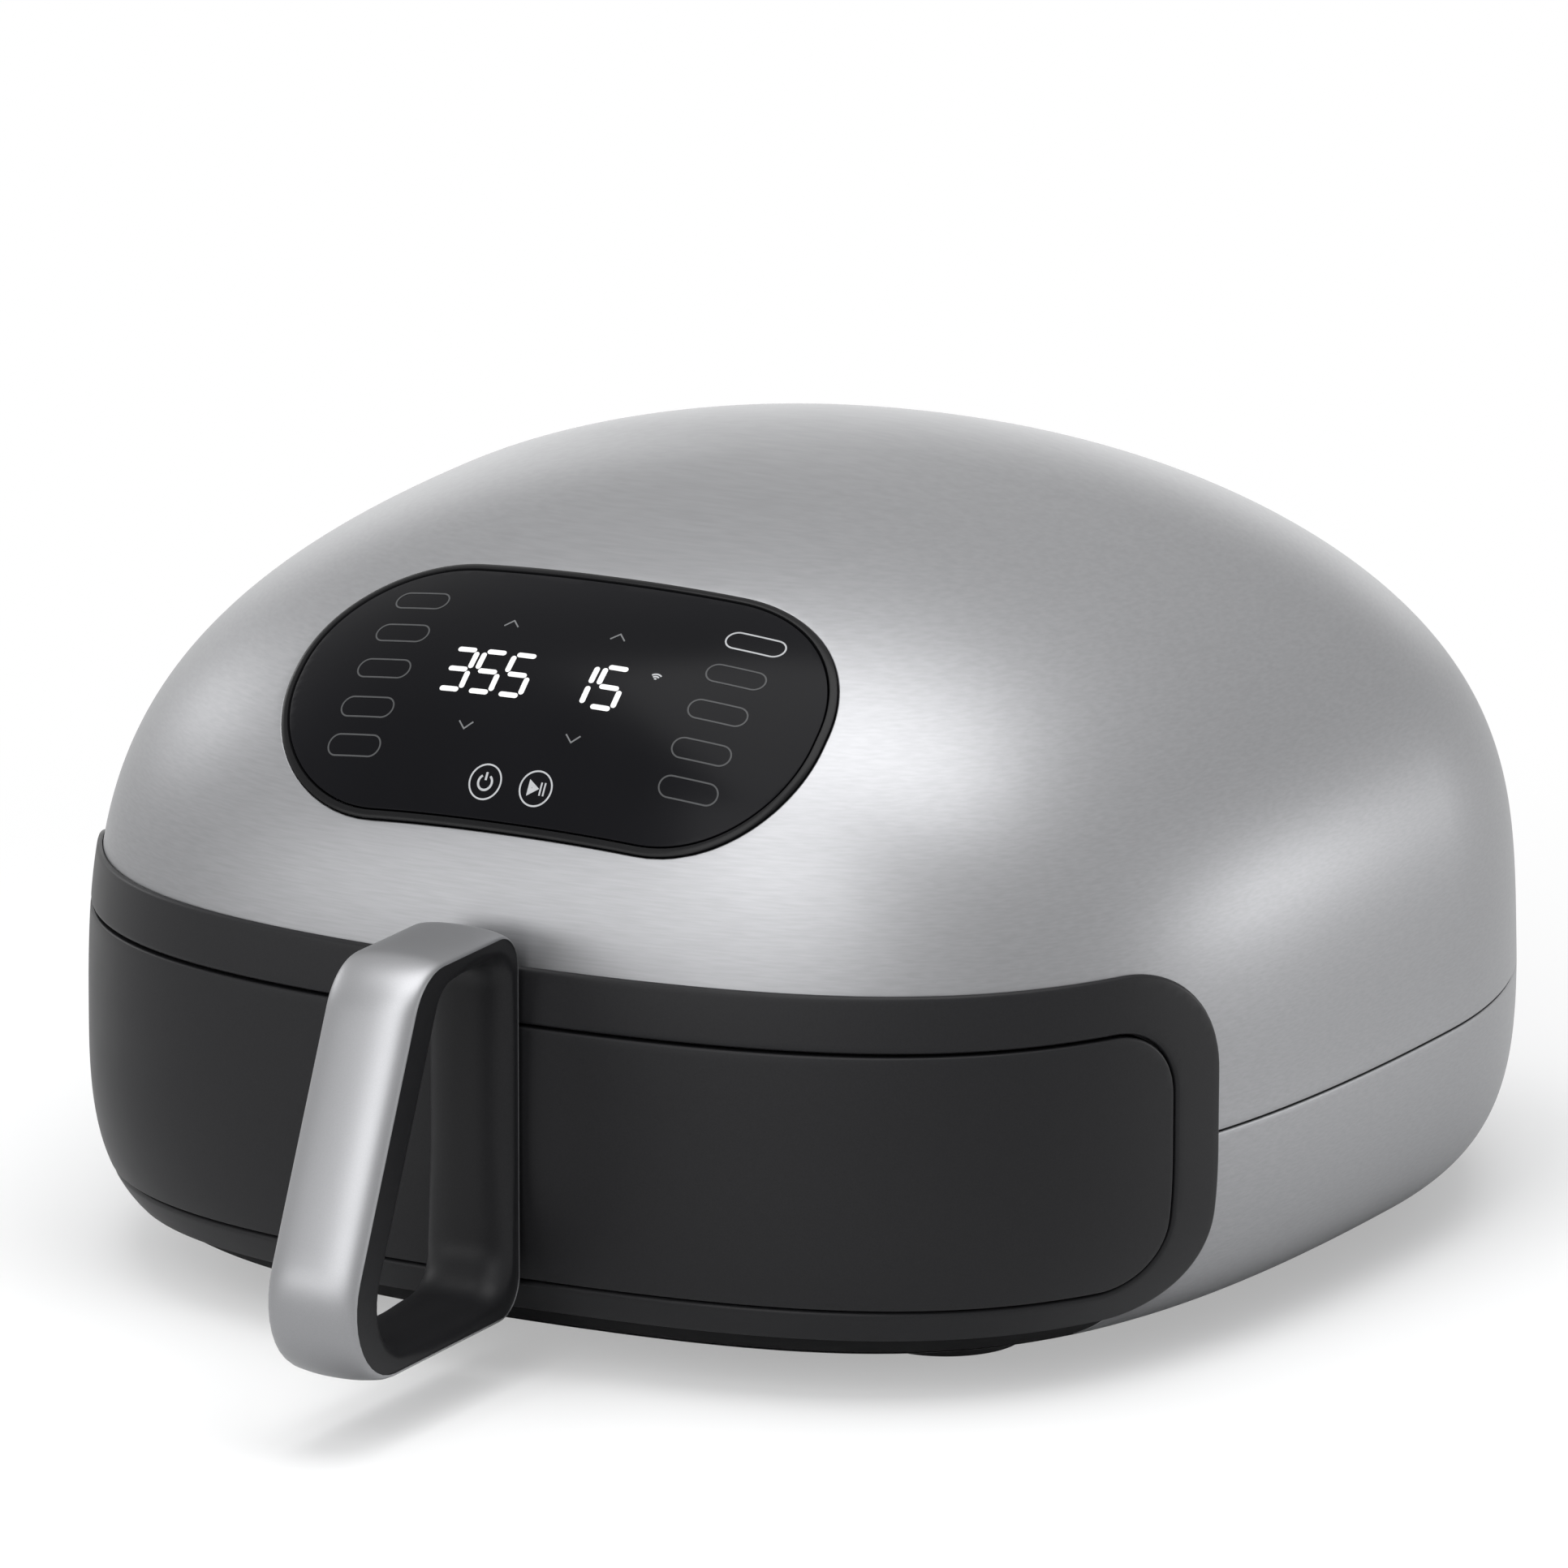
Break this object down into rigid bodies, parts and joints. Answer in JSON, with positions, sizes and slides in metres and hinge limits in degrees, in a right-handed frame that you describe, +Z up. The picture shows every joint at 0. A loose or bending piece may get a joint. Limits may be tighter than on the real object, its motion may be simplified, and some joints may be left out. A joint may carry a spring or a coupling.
{
  "type": "air fryer",
  "caption": "Wide domed countertop air fryer with a sloping touch panel and a pull-out basket drawer on a loop handle, with a lift-out crisper plate.",
  "frame": {"origin": "on the table under the middle of the whole outline, handle included", "axes": "+X to the object's right seen from the front, +Y to the rear, +Z up; the handle points along -Y"},
  "size_m": [0.3672, 0.5015, 0.225],
  "materials": {
    "silver_shell": "satin metallic paint",
    "black_trim": "satin",
    "base_black": "fine moulded texture",
    "handle_silver": "satin",
    "panel_glass": "polished black glass",
    "bezel_black": "gloss",
    "soft_rubber": "matte",
    "chamber_steel": "rolled sheet",
    "nonstick_coat": "non-stick coating",
    "heater_tube": "heat-darkened",
    "fan_metal": "pressed sheet",
    "board_green": "solder mask",
    "switch_body": "moulded"
  },
  "bodies": {
    "housing": {"dome_shell": "silver_shell", "lower_shell": "silver_shell", "front_surround": "black_trim", "base_tray": "base_black", "foot_front_left": "soft_rubber", "foot_front_right": "soft_rubber", "foot_rear_left": "soft_rubber", "foot_rear_right": "soft_rubber", "panel_bezel": "bezel_black", "control_glass": "panel_glass", "display_module": "board_green", "cooking_chamber": "chamber_steel", "chamber_roof": "chamber_steel", "heater_hood": "chamber_steel", "heater_guard": "chamber_steel", "upper_heater": "heater_tube", "lower_heater": "heater_tube", "left_rail": "chamber_steel", "right_rail": "chamber_steel", "fan_motor": "fan_metal", "motor_bracket": "chamber_steel", "power_board": "board_green", "rear_vent": "base_black", "cord_gland": "soft_rubber", "temperature_probe": "chamber_steel", "drawer_switch": "switch_body"},
    "drawer": {"drawer_front": "black_trim", "drawer_bracket": "chamber_steel", "basket_pan": "nonstick_coat", "handle_band_cover": "handle_silver", "handle_core": "black_trim", "handle_boss_low": "black_trim", "handle_boss_high": "black_trim"},
    "plate": {"crisper_plate": "nonstick_coat", "bumper_front_left": "soft_rubber", "bumper_front_right": "soft_rubber", "bumper_rear_left": "soft_rubber", "bumper_rear_right": "soft_rubber"},
    "fan": {"fan_shaft": "fan_metal", "convection_fan": "fan_metal", "cooling_fan": "fan_metal", "fan_nut": "fan_metal"}
  },
  "joints": [
    {"name": "drawer_slide", "type": "slide", "parent": "housing", "child": "drawer", "axis": [0, -1, 0], "range_m": [0, 0.22]},
    {"name": "plate_lift", "type": "slide", "parent": "drawer", "child": "plate", "axis": [0, 0, 1], "range_m": [0, 0.036]},
    {"name": "fan_spin", "type": "hinge", "parent": "housing", "child": "fan", "pos_m": [0, 0.02275, 0.135], "axis": [0, 0, 1], "continuous": true}
  ]
}
